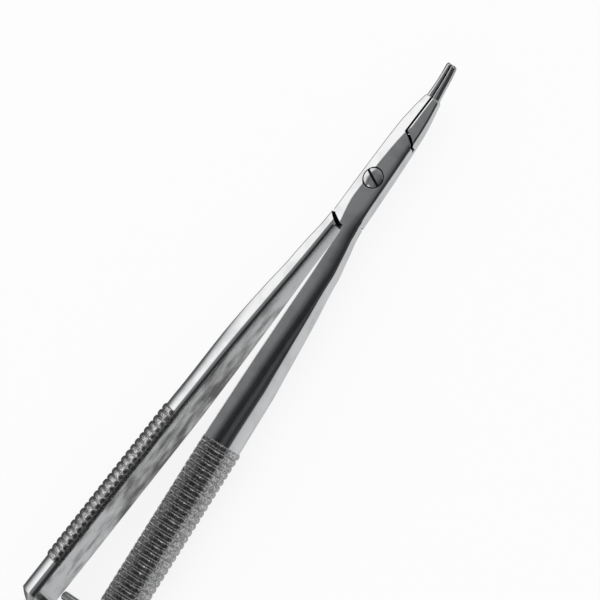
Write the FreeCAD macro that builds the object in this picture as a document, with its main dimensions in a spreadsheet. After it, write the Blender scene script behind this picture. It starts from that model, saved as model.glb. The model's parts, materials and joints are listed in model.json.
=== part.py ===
import FreeCAD, Part
import os
import re

import Sketcher

# Spring handled needle holder, in millimetres and degrees.
# Two forged halves cross in a lap joint and turn on one screw.
# Lengths along the tool are measured from the screw's axis: forward to the tips, back to the tail.
# The tool lies flat, so +Z points up through the screw, +X to the tips, and +Y to the left handle.

SIZES = [
    # Overall reach and the angle that each handle makes with the middle line while the jaws are shut
    ("tip_reach", 22.1),
    ("tail_reach", 116.6),
    ("half_angle", 3.43),
    # Lap joint
    ("joint_front_half_width", 2.11),
    ("joint_middle_half_width", 2.35),
    ("joint_rear_half_width", 2.5),
    ("joint_front_thickness", 3.0),
    ("joint_middle_thickness", 3.3),
    ("joint_rear_thickness", 3.5),
    ("joint_round", 0.8),
    ("front_seam_inner", 9.4),
    ("front_seam_outer", 7.5),
    ("rear_seam_inner", 9.7),
    ("rear_seam_outer", 7.9),
    ("seam_gap", 0.3),
    ("lap_clearance", 0.02),
    # Jaws and their narrow upturned tips
    ("jaw_gap", 0.15),
    ("jaw_round", 0.6),
    ("jaw_taper_length", 3.0),
    ("jaw_middle_half_width", 1.93),
    ("jaw_middle_thickness", 2.55),
    ("jaw_end_half_width", 1.5),
    ("jaw_end_thickness", 2.0),
    ("jaw_shoulder_length", 0.4),
    ("jaw_shoulder_drop", 0.2),
    ("tip_length", 6.7),
    ("tip_bend_length", 2.5),
    ("tip_round", 0.3),
    ("tip_root_width", 1.0),
    ("tip_root_thickness", 1.5),
    ("tip_middle_width", 0.86),
    ("tip_middle_thickness", 1.36),
    ("tip_middle_rise", 0.5),
    ("tip_end_width", 0.7),
    ("tip_end_thickness", 1.2),
    ("tip_end_rise", 1.3),
    ("tip_bevel_length", 0.4),
    ("tip_bevel_drop", 0.2),
    # Handles, with a flat inner face and a round back
    ("neck_at", 9.0),
    ("neck_half_width", 1.7),
    ("neck_depth", 1.95),
    ("throat_at", 17.5),
    ("throat_half_width", 2.16),
    ("throat_depth", 3.1),
    ("waist_at", 24.5),
    ("waist_half_width", 2.78),
    ("waist_depth", 3.58),
    ("swell_at", 35.0),
    ("swell_half_width", 3.57),
    ("swell_depth", 4.12),
    ("grip_front", 47.0),
    ("grip_rear", 85.1),
    ("grip_radius", 4.2),
    # Beads across the grip
    ("bead_first", 48.0),
    ("bead_pitch", 1.185),
    ("bead_count", 26),
    ("bead_width", 1.05),
    ("bead_crest_width", 0.5),
    ("bead_height", 0.3),
    ("bead_root", 0.4),
    # Rear shoulder and the tongue that carries the spring blade
    ("shoulder_length", 1.4),
    ("shoulder_half_width", 3.3),
    ("shoulder_depth", 2.0),
    ("tongue_end", 89.0),
    ("tongue_width", 6.0),
    ("tongue_root_thickness", 1.6),
    ("tongue_end_thickness", 1.0),
    ("tongue_round", 0.3),
    # Spring blades and their hinged tail
    ("blade_root_gap", 0.2),
    ("blade_thickness", 0.85),
    ("blade_root_width", 6.0),
    ("blade_tail_width", 4.5),
    ("blade_bulge", 1.8),
    ("knuckle_radius", 1.3),
    ("knuckle_height", 1.5),
    ("knuckle_gap", 0.2),
    ("tail_pin_radius", 0.6),
    ("tail_pin_clearance", 0.15),
    ("tail_pin_head_radius", 0.9),
    ("tail_pin_head_height", 0.25),
    # Pivot screw
    ("shank_radius", 1.0),
    ("shank_clearance", 0.05),
    ("head_radius", 1.65),
    ("head_clearance", 0.14),
    ("head_seat", 0.8),
    ("head_seat_clearance", 0.02),
    ("head_rim", 1.52),
    ("head_dome", 0.28),
    ("slot_width", 0.42),
    ("slot_depth", 0.5),
    ("slot_angle", 55.0),
    # Stop pin between the grips
    ("stop_at", 82.4),
    ("stop_radius", 0.75),
    ("stop_length", 7.9),
    ("stop_depth", 1.5),
    ("stop_bevel", 0.2),
    # Catch that holds the handles together
    ("catch_at", 87.3),
    ("catch_thickness", 0.5),
    ("catch_width", 3.0),
    ("catch_length", 8.66),
    ("catch_root", 1.0),
    ("catch_lean", 7.0),
    ("catch_slot_clearance", 0.15),
    ("hook_reach", 0.8),
    ("hook_height", 0.9),
    ("keeper_thickness", 1.2),
    ("keeper_length", 4.0),
    ("keeper_nose_height", 0.8),
    ("keeper_gap", 0.45),
    ("keeper_stem_radius", 0.5),
    ("keeper_stem_length", 1.0),
]

NAMES = {name for name, number in SIZES}
CORNER_SHARE = "0.2929"
PAST = 2.0

doc = FreeCAD.newDocument("needle_holder")
sheet = doc.addObject("Spreadsheet::Sheet", "Sizes")
for row, (name, number) in enumerate(SIZES, start=1):
    sheet.set(f"A{row}", name)
    sheet.set(f"B{row}", str(number))
    sheet.setAlias(f"B{row}", name)
doc.recompute()


# Sizes and formulas

def cells(formula):
    """Gives the formula with each size's name pointing at its cell."""
    return re.sub(r"[a-z_]+", lambda word: f"Sizes.{word[0]}" if word[0] in NAMES else word[0], str(formula))


def value(formula):
    """Gives the number that a formula has now."""
    return float(sheet.evalExpression(cells(formula)))


def bind(thing, path, formula):
    """Ties one property of an object to a formula of the sizes."""
    thing.setExpression(path, cells(formula))


# Sketches

def new_body(name):
    """Starts one piece of the tool."""
    body = doc.addObject("PartDesign::Body", name)
    body.Label = name
    return body


def new_sketch(body, name, role, away="0", turn="0"):
    """Starts a sketch on one of the body's own planes, moved out along its normal and turned about Z."""
    plane = next(item for item in body.Origin.OriginFeatures if item.Role == role)
    sketch = body.newObject("Sketcher::SketchObject", name)
    sketch.AttachmentSupport = (plane, [""])
    sketch.MapMode = "FlatFace"
    upright = role == "YZ_Plane"
    spin = FreeCAD.Vector(0, 1, 0) if upright else FreeCAD.Vector(0, 0, 1)
    sketch.AttachmentOffset = FreeCAD.Placement(FreeCAD.Vector(), FreeCAD.Rotation(spin, 1))
    bind(sketch, "AttachmentOffset.Rotation.Angle", turn)
    if upright:
        bind(sketch, "AttachmentOffset.Base.x", f"({away}) * sin({turn})")
        bind(sketch, "AttachmentOffset.Base.z", f"({away}) * cos({turn})")
    else:
        bind(sketch, "AttachmentOffset.Base.z", away)
    return sketch


def fix_point(sketch, element, end, x, y):
    """Sets one point of a sketch by two formulas."""
    for kind, formula in (("DistanceX", x), ("DistanceY", y)):
        index = sketch.addConstraint(Sketcher.Constraint(kind, element, end, value(formula)))
        bind(sketch, f"Constraints[{index}]", formula)


def outline(sketch, path):
    """Draws a closed outline. A step is a corner (x, y), or an arc's middle and end (x, y, x, y)."""
    ends = []
    for index, step in enumerate(path):
        start = FreeCAD.Vector(*[value(item) for item in path[index - 1][-2:]], 0)
        stop = FreeCAD.Vector(*[value(item) for item in step[-2:]], 0)
        if len(step) == 2:
            element = sketch.addGeometry(Part.LineSegment(start, stop), False)
            first, last = 1, 2
        else:
            middle = FreeCAD.Vector(value(step[0]), value(step[1]), 0)
            element = sketch.addGeometry(Part.Arc(start, middle, stop), False)
            first, last = (1, 2) if sketch.getPoint(element, 1).distanceToPoint(start) < 1e-6 else (2, 1)
            mark = sketch.addGeometry(Part.Point(middle), True)
            sketch.addConstraint(Sketcher.Constraint("PointOnObject", mark, 1, element))
            fix_point(sketch, mark, 1, step[0], step[1])
        fix_point(sketch, element, last, *step[-2:])
        ends.append((element, first, last))
    for index, (element, first, last) in enumerate(ends):
        before, before_first, before_last = ends[index - 1]
        sketch.addConstraint(Sketcher.Constraint("Coincident", before, before_last, element, first))
    return sketch


def ring(sketch, x, y, radius):
    """Draws a circle about a point."""
    centre = FreeCAD.Vector(value(x), value(y), 0)
    element = sketch.addGeometry(Part.Circle(centre, FreeCAD.Vector(0, 0, 1), value(radius)), False)
    fix_point(sketch, element, 3, x, y)
    index = sketch.addConstraint(Sketcher.Constraint("Radius", element, value(radius)))
    bind(sketch, f"Constraints[{index}]", radius)
    return sketch


# Features

def pad(body, sketch, length, symmetric=True):
    """Makes a plate from a sketch, to both sides of it or along its normal."""
    feature = body.newObject("PartDesign::Pad", f"{sketch.Name}_pad")
    feature.Profile = sketch
    feature.SideType = "Symmetric" if symmetric else "One side"
    bind(feature, "Length", length)
    return feature


def pocket(body, sketch, length, side=0):
    """Cuts a sketch away, to both sides of it (0), along its normal (1) or against it (-1)."""
    feature = body.newObject("PartDesign::Pocket", f"{sketch.Name}_pocket")
    feature.Profile = sketch
    feature.SideType = "One side" if side else "Symmetric"
    feature.Reversed = side > 0
    bind(feature, "Length", length)
    return feature


def turned(body, sketch, axis, angle="360"):
    """Turns a sketch about one of its own axes."""
    feature = body.newObject("PartDesign::Revolution", f"{sketch.Name}_turned")
    feature.Profile = sketch
    feature.ReferenceAxis = (sketch, [axis])
    feature.Midplane = True
    bind(feature, "Angle", angle)
    return feature


def loft(body, sketches, ruled=False):
    """Runs a solid through a row of sections."""
    feature = body.newObject("PartDesign::AdditiveLoft", f"{sketches[0].Name}_loft")
    feature.Profile = sketches[0]
    feature.Sections = sketches[1:]
    feature.Ruled = ruled
    return feature


def place(body, x, y, angle="0", z="0"):
    """Puts a body at a point measured from the screw's axis and turns it about Z."""
    body.Placement = FreeCAD.Placement(FreeCAD.Vector(), FreeCAD.Rotation(FreeCAD.Vector(0, 0, 1), 1))
    bind(body, "Placement.Base.x", f"({PIVOT_X}) + ({x})")
    bind(body, "Placement.Base.y", y)
    bind(body, "Placement.Base.z", f"({PIVOT_Z}) + ({z})")
    bind(body, "Placement.Rotation.Angle", angle)


# Places worked out from the sizes

PIVOT_X = "(tail_reach + knuckle_radius - tip_reach) / 2"
PIVOT_Z = "(grip_radius + bead_height)"
ROOT_AT = "tongue_end + blade_root_gap + blade_thickness / 2"
ROOT_OFF = "tongue_end_thickness / 2"
ROOT_X = f"(({ROOT_OFF}) * sin(half_angle) - ({ROOT_AT}) * cos(half_angle))"
ROOT_Y = f"(({ROOT_AT}) * sin(half_angle) + ({ROOT_OFF}) * cos(half_angle))"
CHORD = f"sqrt((tail_reach + {ROOT_X})^2 + {ROOT_Y}^2)"
JAW_END = "(tip_reach - tip_length)"
JAW_MIDDLE = "(tip_reach - tip_length - jaw_taper_length)"
TIP_MIDDLE = "(tip_reach - tip_bend_length)"


# Forged halves

def full_section(body, name, station, half_width, thickness, turn):
    """Draws the joint's bar section with its corners bevelled."""
    sketch = new_sketch(body, name, "YZ_Plane", station, turn)
    wide, high, bend = half_width, f"{thickness} / 2", "joint_round"
    path = []
    for y, z in ((1, 1), (-1, 1), (-1, -1), (1, -1)):
        beside = (f"{y} * ({wide})", f"{z} * ({high} - {bend})")
        above = (f"{y} * ({wide} - {bend})", f"{z} * ({high})")
        middle = (f"{y} * ({wide} - {bend} * {CORNER_SHARE})", f"{z} * ({high} - {bend} * {CORNER_SHARE})")
        path += [beside, middle, above] if y * z > 0 else [above, middle, beside]
    return outline(sketch, path)


def jaw_section(body, name, side, station, width, thickness, bend, rise="0"):
    """Draws half of a bevelled bar, a little past the middle line. It lies across from its own handle."""
    sketch = new_sketch(body, name, "YZ_Plane", station, f"{side} * half_angle")
    high, corner = f"({thickness}) / 2", f"{bend} * {CORNER_SHARE}"
    path = [
        ("-jaw_gap", f"{rise} - {high}"),
        ("-jaw_gap", f"{rise} + {high}"),
        (f"{width} - {bend}", f"{rise} + {high}"),
        (f"{width} - {corner}", f"{rise} + {high} - {corner}"),
        (width, f"{rise} + {high} - {bend}"),
        (width, f"{rise} - {high} + {bend}"),
        (f"{width} - {corner}", f"{rise} - {high} + {corner}"),
        (f"{width} - {bend}", f"{rise} - {high}"),
    ]
    return outline(sketch, [(f"-{side} * ({y})", z) for y, z in path])


def handle_section(body, name, side, station, half_width, depth):
    """Draws a handle's section: a flat inner face and a bow behind it."""
    sketch = new_sketch(body, name, "YZ_Plane", f"-({station})")
    return outline(sketch, [("0", f"-({half_width})"), (f"{side} * ({depth})", "0", "0", half_width)])


def tongue_section(body, name, side, station, thickness):
    """Draws the flat tongue's section, with its outer corners bevelled."""
    sketch = new_sketch(body, name, "YZ_Plane", f"-({station})")
    half, bend, corner = "tongue_width / 2", "tongue_round", f"tongue_round * {CORNER_SHARE}"
    path = [
        ("0", f"-{half}"),
        (f"({thickness}) - {bend}", f"-{half}"),
        (f"({thickness}) - {corner}", f"-{half} + {corner}"),
        (thickness, f"-{half} + {bend}"),
        (thickness, f"{half} - {bend}"),
        (f"({thickness}) - {corner}", f"{half} - {corner}"),
        (f"({thickness}) - {bend}", half),
        ("0", half),
    ]
    return outline(sketch, [(f"{side} * ({y})", z) for y, z in path])


def add_handle(body, side):
    """Adds the tapered handle, its half round grip, the rear shoulder and the tongue."""
    grip = ("grip_radius", "grip_radius")
    tapers = [
        handle_section(body, "neck", side, "neck_at", "neck_half_width", "neck_depth"),
        handle_section(body, "throat", side, "throat_at", "throat_half_width", "throat_depth"),
        handle_section(body, "waist", side, "waist_at", "waist_half_width", "waist_depth"),
        handle_section(body, "swell", side, "swell_at", "swell_half_width", "swell_depth"),
        handle_section(body, "grip_start", side, "grip_front", *grip),
    ]
    loft(body, tapers, ruled=True)
    bar = handle_section(body, "grip_bar", side, "grip_rear", *grip)
    pad(body, bar, "grip_rear - grip_front", symmetric=False)
    shoulder = [
        handle_section(body, "shoulder_start", side, "grip_rear", *grip),
        handle_section(body, "shoulder_end", side, "grip_rear + shoulder_length",
                       "shoulder_half_width", "shoulder_depth"),
    ]
    loft(body, shoulder, ruled=True)
    tongue = [
        tongue_section(body, "tongue_start", side, "grip_rear + shoulder_length / 2", "tongue_root_thickness"),
        tongue_section(body, "tongue_tip", side, "tongue_end", "tongue_end_thickness"),
    ]
    loft(body, tongue, ruled=True)


def add_beads(body, side):
    """Adds the beads across the grip's back, from one edge of its flat face to the other."""
    sketch = new_sketch(body, "bead", "XY_Plane")
    low, base, high = "grip_radius - bead_root", "grip_radius", "grip_radius + bead_height"
    back, front = "-bead_first - bead_width / 2", "-bead_first + bead_width / 2"
    outline(sketch, [
        (back, f"{side} * ({low})"),
        (back, f"{side} * ({base})"),
        ("-bead_first - bead_crest_width / 2", f"{side} * ({high})"),
        ("-bead_first + bead_crest_width / 2", f"{side} * ({high})"),
        (front, f"{side} * ({base})"),
        (front, f"{side} * ({low})"),
    ])
    bead = turned(body, sketch, "H_Axis", "180")
    row = body.newObject("PartDesign::LinearPattern", "beads")
    row.Originals = [bead]
    row.Direction = (sketch, ["H_Axis"])
    row.Reversed = True
    row.Mode = "Spacing"
    bind(row, "Offset", "bead_pitch")
    bind(row, "Occurrences", "bead_count")
    body.Tip = row


def add_joint(body, turn):
    """Adds the joint's bar, which runs from the rear shoulders to the front ones."""
    sections = [
        full_section(body, "joint_rear", "-rear_seam_inner", "joint_rear_half_width",
                     "joint_rear_thickness", turn),
        full_section(body, "joint_middle", "0", "joint_middle_half_width", "joint_middle_thickness", turn),
        full_section(body, "joint_front", "front_seam_inner", "joint_front_half_width",
                     "joint_front_thickness", turn),
    ]
    loft(body, sections)


def add_jaw(body, side):
    """Adds the tapered jaw, its small shoulder and the narrow upturned tip."""
    jaws = [
        jaw_section(body, "jaw_root", side, "front_seam_inner - seam_gap", "joint_front_half_width",
                    "joint_front_thickness", "jaw_round"),
        jaw_section(body, "jaw_waist", side, JAW_MIDDLE, "jaw_middle_half_width",
                    "jaw_middle_thickness", "jaw_round"),
        jaw_section(body, "jaw_stop", side, JAW_END, "jaw_end_half_width", "jaw_end_thickness", "jaw_round"),
    ]
    loft(body, jaws)
    shoulder = [
        jaw_section(body, "jaw_shoulder", side, JAW_END, "jaw_end_half_width", "jaw_end_thickness",
                    "jaw_round"),
        jaw_section(body, "jaw_face", side, f"{JAW_END} + jaw_shoulder_length",
                    "(jaw_end_half_width - jaw_shoulder_drop)",
                    "jaw_end_thickness - 2 * jaw_shoulder_drop", "jaw_round"),
    ]
    loft(body, shoulder, ruled=True)
    tips = [
        jaw_section(body, "tip_root", side, JAW_END, "tip_root_width", "tip_root_thickness", "tip_round"),
        jaw_section(body, "tip_waist", side, TIP_MIDDLE, "tip_middle_width", "tip_middle_thickness",
                    "tip_round", "tip_middle_rise"),
        jaw_section(body, "tip_stop", side, "tip_reach - tip_bevel_length", "tip_end_width",
                    "tip_end_thickness", "tip_round", "tip_end_rise"),
    ]
    loft(body, tips)
    bevel = [
        jaw_section(body, "tip_bevel", side, "tip_reach - tip_bevel_length", "tip_end_width",
                    "tip_end_thickness", "tip_round", "tip_end_rise"),
        jaw_section(body, "tip_face", side, "tip_reach", "(tip_end_width - tip_bevel_drop)",
                    "tip_end_thickness - 2 * tip_bevel_drop", "tip_round",
                    "tip_end_rise + tip_bevel_drop / 2"),
    ]
    loft(body, bevel, ruled=True)
    past, mid = f"tip_reach + {PAST}", "front_seam_inner - seam_gap"
    split = new_sketch(body, "jaw_split", "XY_Plane", "0", f"{side} * half_angle")
    outline(split, [
        (mid, f"-{side} * jaw_gap / 2"),
        (past, f"-{side} * jaw_gap / 2"),
        (past, f"{side} * {PAST} * jaw_gap"),
        (mid, f"{side} * {PAST} * jaw_gap"),
    ])
    pocket(body, split, f"{PAST} * joint_front_thickness")


def mill_lap(body, side):
    """Mills away the half thickness where the other half's plate lies, and room for its shoulders."""
    turn = f"{side} * half_angle"
    face = f"-{side} * jaw_gap / 2"
    wide = f"{PAST} * joint_middle_half_width"
    ahead = f"front_seam_inner + {PAST}"
    behind = f"rear_seam_inner + {PAST}"
    front_run = f"{PAST} * (front_seam_inner - front_seam_outer)"
    rear_run = f"{PAST} * (rear_seam_inner - rear_seam_outer)"
    along = ("(rear_seam_inner * tan(half_angle) / "
             "(joint_middle_half_width + (rear_seam_inner - rear_seam_outer) * tan(half_angle)))")
    corner = (f"-rear_seam_inner + (rear_seam_inner - rear_seam_outer) * {along}",
              f"{side} * joint_middle_half_width * {along}")
    lap = new_sketch(body, "lap", "XY_Plane", f"-{side} * lap_clearance / 2", turn)
    outline(lap, [
        ("front_seam_inner", face),
        (f"front_seam_inner - {front_run}", f"-{side} * {wide}"),
        (f"-({behind})", f"-{side} * {wide}"),
        (f"-({behind})", f"{side} * ({behind}) * tan(half_angle)"),
        corner,
        (f"-rear_seam_inner + {rear_run}", f"{side} * {wide}"),
        (ahead, f"{side} * {wide}"),
        (ahead, face),
    ])
    pocket(body, lap, "joint_rear_thickness", side)
    front = new_sketch(body, "front_room", "XY_Plane", "0", turn)
    outline(front, [
        ("front_seam_inner - seam_gap", face),
        (f"front_seam_inner - seam_gap - {front_run}", f"{side} * {wide}"),
        (ahead, f"{side} * {wide}"),
        (ahead, face),
    ])
    pocket(body, front, "2 * joint_rear_thickness")
    rear = new_sketch(body, "rear_room", "XY_Plane", "0", turn)
    outline(rear, [
        ("-rear_seam_inner + seam_gap", "0"),
        (f"-rear_seam_inner + seam_gap + {rear_run}", f"-{side} * {wide}"),
        (f"-({behind})", f"-{side} * {wide}"),
        (f"-({behind})", f"{side} * ({behind}) * tan(half_angle)"),
        ("-rear_seam_inner + seam_gap", f"{side} * (rear_seam_inner - seam_gap) * tan(half_angle)"),
    ])
    pocket(body, rear, "2 * joint_rear_thickness")


def cross_hole(body, name, station, radius, depth, side):
    """Sinks a round hole into a handle's flat face."""
    sketch = ring(new_sketch(body, name, "XZ_Plane"), f"-({station})", "0", radius)
    return pocket(body, sketch, depth, -side)


def forged_half(name, side):
    """Builds one half. Side 1 has the left handle and the lower plate, side -1 the right and the upper."""
    body = new_body(name)
    add_joint(body, f"{side} * half_angle")
    add_handle(body, side)
    add_jaw(body, side)
    mill_lap(body, side)
    add_beads(body, side)
    place(body, "0", "0", f"-{side} * half_angle")
    return body


def lower_half():
    """Builds the half that carries the screw and the keeper."""
    body = forged_half("lower_half", 1)
    bore = ring(new_sketch(body, "screw_hole", "XY_Plane"), "0", "0", "shank_radius")
    pocket(body, bore, "2 * joint_rear_thickness")
    cross_hole(body, "keeper_hole", KEEPER_STATION, "keeper_stem_radius", "keeper_stem_length", 1)
    return body


def upper_half():
    """Builds the half that turns on the screw and carries the stop pin and the catch."""
    body = forged_half("upper_half", -1)
    bore = ring(new_sketch(body, "screw_hole", "XY_Plane"), "0", "0", "shank_radius + shank_clearance")
    pocket(body, bore, "2 * joint_rear_thickness")
    seat = ring(new_sketch(body, "head_seat_ring", "XY_Plane", "head_seat"), "0", "0",
                "head_radius + head_clearance")
    pocket(body, seat, "joint_rear_thickness", 1)
    cross_hole(body, "stop_hole", "stop_at", "stop_radius", "stop_depth", -1)
    slot = new_sketch(body, "catch_slot", "XZ_Plane")
    half_slot = "catch_thickness / 2 + catch_slot_clearance"
    half_high = "catch_width / 2 + catch_slot_clearance"
    outline(slot, [
        (f"-({CATCH_STATION}) - ({half_slot})", f"-({half_high})"),
        (f"-({CATCH_STATION}) + {half_slot}", f"-({half_high})"),
        (f"-({CATCH_STATION}) + {half_slot}", half_high),
        (f"-({CATCH_STATION}) - ({half_slot})", half_high),
    ])
    pocket(body, slot, "catch_root + catch_slot_clearance", 1)
    return body


# Screw and pins

def dome_middle(radius, height):
    """Gives the middle of a low dome's arc, out from its axis and up from its rim."""
    rim = f"sqrt(({radius})^2 + ({height})^2)"
    return f"({rim} / 2)", f"(({height}) - {rim}^2 / (2 * ({height})) * (1 - ({radius}) / {rim}))"


def pivot_screw():
    """Turns the screw: a domed head sunk in the upper plate and a shank that fills the lower one."""
    body = new_body("pivot_screw")
    sketch = new_sketch(body, "profile", "XZ_Plane")
    foot = "-joint_middle_thickness / 2"
    out, up = dome_middle("head_radius", "head_dome")
    outline(sketch, [
        ("0", foot),
        ("shank_radius", foot),
        ("shank_radius", "head_seat + head_seat_clearance"),
        ("head_radius", "head_seat + head_seat_clearance"),
        ("head_radius", "head_rim"),
        (out, f"head_rim + {up}", "0", "head_rim + head_dome"),
    ])
    turned(body, sketch, "V_Axis")
    slot = new_sketch(body, "slot", "XY_Plane", "head_rim + head_dome - slot_depth", "slot_angle")
    reach, half = "2 * head_radius", "slot_width / 2"
    outline(slot, [(f"-{reach}", f"-{half}"), (reach, f"-{half}"), (reach, half), (f"-{reach}", half)])
    pocket(body, slot, "slot_depth + head_dome", 1)
    place(body, "0", "0")
    return body


def stop_pin():
    """Turns the stop: a plain pin set in the right handle, with its free end bevelled."""
    body = new_body("stop_pin")
    sketch = new_sketch(body, "profile", "XY_Plane")
    outline(sketch, [
        ("0", "-stop_depth"),
        ("stop_radius", "-stop_depth"),
        ("stop_radius", "stop_length - stop_bevel"),
        ("stop_radius - stop_bevel", "stop_length"),
        ("0", "stop_length"),
    ])
    turned(body, sketch, "V_Axis")
    place(body, "-stop_at * cos(half_angle)", "-stop_at * sin(half_angle)", "half_angle")
    return body


def tail_pin():
    """Turns the tail's rivet: a pin with a low head at each end."""
    body = new_body("tail_pin")
    sketch = new_sketch(body, "profile", "XZ_Plane")
    seat, top = "blade_tail_width / 2", "blade_tail_width / 2 + tail_pin_head_height"
    out, up = dome_middle("tail_pin_head_radius", "tail_pin_head_height")
    outline(sketch, [
        ("0", f"-({top})"),
        (out, f"-({seat} + {up})", "tail_pin_head_radius", f"-({seat})"),
        ("tail_pin_radius", f"-({seat})"),
        ("tail_pin_radius", seat),
        ("tail_pin_head_radius", seat),
        (out, f"{seat} + {up}", "0", top),
    ])
    turned(body, sketch, "V_Axis")
    place(body, "-tail_reach", "0")
    return body


# Spring blades

def blade(name, side, pin_room):
    """Builds a curved blade from its root to its knuckle. Side 1 is the left blade."""
    body = new_body(name)
    room = "knuckle_radius + knuckle_gap"
    strip = new_sketch(body, "strip", "XY_Plane")
    half = "blade_thickness / 2"
    bow = f"-{side} * blade_bulge"
    outline(strip, [
        (f"({CHORD}) / 2", f"{bow} - {half}", CHORD, f"-{half}"),
        (CHORD, half),
        (f"({CHORD}) / 2", f"{bow} + {half}", "0", half),
        (f"-{half}", "0", "0", f"-{half}"),
    ])
    pad(body, strip, "blade_root_width")
    taper = new_sketch(body, "taper", "XZ_Plane")
    root, tail, outer = "blade_root_width / 2", "blade_tail_width / 2", "blade_root_width"
    neck, past = f"{CHORD} - {room}", f"{CHORD} + {room}"
    outline(taper, [("0", root), (neck, tail), (past, tail), (past, outer), ("0", outer)])
    outline(taper, [("0", f"-{root}"), ("0", f"-{outer}"), (past, f"-{outer}"), (past, f"-{tail}"),
                    (neck, f"-{tail}")])
    pocket(body, taper, "4 * (blade_bulge + blade_thickness)")
    pad(body, ring(new_sketch(body, "knuckle", "XY_Plane"), CHORD, "0", "knuckle_radius"), "blade_tail_width")
    if side > 0:
        for face, way in (("upper", 1), ("lower", -1)):
            cut = new_sketch(body, f"{face}_room", "XY_Plane", f"{way} * knuckle_height / 2")
            pocket(body, ring(cut, CHORD, "0", room), "blade_root_width", way)
    else:
        cut = ring(new_sketch(body, "middle_room", "XY_Plane"), CHORD, "0", room)
        pocket(body, cut, "knuckle_height + 2 * knuckle_gap")
    hole = ring(new_sketch(body, "pin_hole", "XY_Plane"), CHORD, "0", pin_room)
    pocket(body, hole, "2 * blade_root_width")
    lean = f"asin({ROOT_Y} / ({CHORD})) / 1 deg"
    place(body, ROOT_X, f"{side} * {ROOT_Y}", f"180 + {side} * {lean}")
    return body


# Catch

CATCH_STATION = "catch_at / cos(half_angle)"
KEEPER_BACK = "catch_thickness / 2 + hook_reach + keeper_gap"
KEEPER_X = f"(catch_at - ({KEEPER_BACK}) - keeper_thickness / 2)"
KEEPER_STATION = f"{KEEPER_X} / cos(half_angle)"


def catch_leaf():
    """Builds the leaf that stands in the right tongue, with a hook at its free end that faces forward."""
    body = new_body("catch_leaf")
    half = "catch_thickness / 2"
    sketch = new_sketch(body, "profile", "XY_Plane")
    outline(sketch, [
        (f"-{half}", "-catch_root"),
        (half, "-catch_root"),
        (half, "catch_length - hook_height"),
        (f"{half} + hook_reach", "catch_length - hook_height"),
        (f"{half} + hook_reach", "catch_length - hook_height / 2"),
        (half, "catch_length"),
        (f"-{half}", "catch_length"),
    ])
    pad(body, sketch, "catch_width")
    place(body, "-catch_at", "-catch_at * tan(half_angle)", "catch_lean")
    return body


def keeper():
    """Builds the keeper: a post in the left tongue whose nose faces back to meet the hook."""
    body = new_body("keeper")
    half = "keeper_thickness / 2"
    sketch = new_sketch(body, "profile", "XY_Plane")
    outline(sketch, [
        (half, "0"),
        (f"-{half}", "0"),
        (f"-{half}", "-keeper_length + keeper_nose_height"),
        (f"-{half} - hook_reach", "-keeper_length + keeper_nose_height"),
        (f"-{half} - hook_reach", "-keeper_length + keeper_nose_height / 2"),
        (f"-{half}", "-keeper_length"),
        (half, "-keeper_length"),
    ])
    pad(body, sketch, "catch_width")
    stem = ring(new_sketch(body, "stem", "XZ_Plane"), "0", "0", "keeper_stem_radius")
    feature = pad(body, stem, "keeper_stem_length", symmetric=False)
    feature.Reversed = True
    place(body, f"-{KEEPER_X}", f"{KEEPER_X} * tan(half_angle)", "-half_angle")
    return body


# Build, check and export

parts = [
    lower_half(),
    upper_half(),
    pivot_screw(),
    stop_pin(),
    blade("spring_blade_left", 1, "tail_pin_radius + tail_pin_clearance"),
    blade("spring_blade_right", -1, "tail_pin_radius"),
    tail_pin(),
    catch_leaf(),
    keeper(),
]
doc.recompute()

failed = [thing.Name for thing in doc.Objects if {"Invalid", "Error"} & set(thing.State)]
if failed:
    raise RuntimeError(f"These objects failed: {failed}")
for part in parts:
    if part.Shape.isNull() or not part.Shape.isValid() or len(part.Shape.Solids) != 1:
        raise RuntimeError(f"{part.Label} isn't one valid solid")

os.makedirs("parts", exist_ok=True)
for part in parts:
    part.Shape.exportStep(f"parts/{part.Label}.step")
    box = part.Shape.BoundBox
    print(f"{part.Label}: {part.Shape.Volume:.2f} mm3, x {box.XMin:.2f} to {box.XMax:.2f}, "
          f"y {box.YMin:.2f} to {box.YMax:.2f}, z {box.ZMin:.2f} to {box.ZMax:.2f}")
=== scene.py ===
import json
import logging
import math
from collections.abc import Callable, Iterable
from dataclasses import dataclass
from enum import Enum

import bmesh
import bpy
from bmesh.types import BMesh, BMVert
from bpy.types import Material, Node, NodeSocket, NodeTree, Object
from mathutils import Matrix, Vector


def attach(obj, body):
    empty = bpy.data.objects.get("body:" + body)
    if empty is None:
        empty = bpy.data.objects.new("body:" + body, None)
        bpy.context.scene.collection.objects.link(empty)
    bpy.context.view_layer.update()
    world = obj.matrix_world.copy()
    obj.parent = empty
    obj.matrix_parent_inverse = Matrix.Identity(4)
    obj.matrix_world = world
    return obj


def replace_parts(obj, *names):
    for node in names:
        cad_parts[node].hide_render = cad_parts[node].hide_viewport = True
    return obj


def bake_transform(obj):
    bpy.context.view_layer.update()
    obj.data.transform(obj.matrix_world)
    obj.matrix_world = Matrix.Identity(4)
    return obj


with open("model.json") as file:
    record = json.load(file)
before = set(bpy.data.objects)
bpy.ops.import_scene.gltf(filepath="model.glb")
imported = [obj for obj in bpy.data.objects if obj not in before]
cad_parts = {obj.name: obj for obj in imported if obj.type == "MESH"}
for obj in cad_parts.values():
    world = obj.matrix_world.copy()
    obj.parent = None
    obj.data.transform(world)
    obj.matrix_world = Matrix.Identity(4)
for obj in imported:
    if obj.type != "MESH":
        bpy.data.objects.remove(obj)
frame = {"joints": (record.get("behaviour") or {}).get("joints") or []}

# Looks of the spring handled needle holder. Sizes are in millimetres and degrees, measured from the screw:
# +X runs to the jaw tips, +Y to the left handle, +Z up through the screw's head.
# Finished meshes are moved to the frame and made metres.

logging.basicConfig(level=logging.INFO, format="%(name)s: %(message)s")
log = logging.getLogger("needle_holder")

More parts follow.
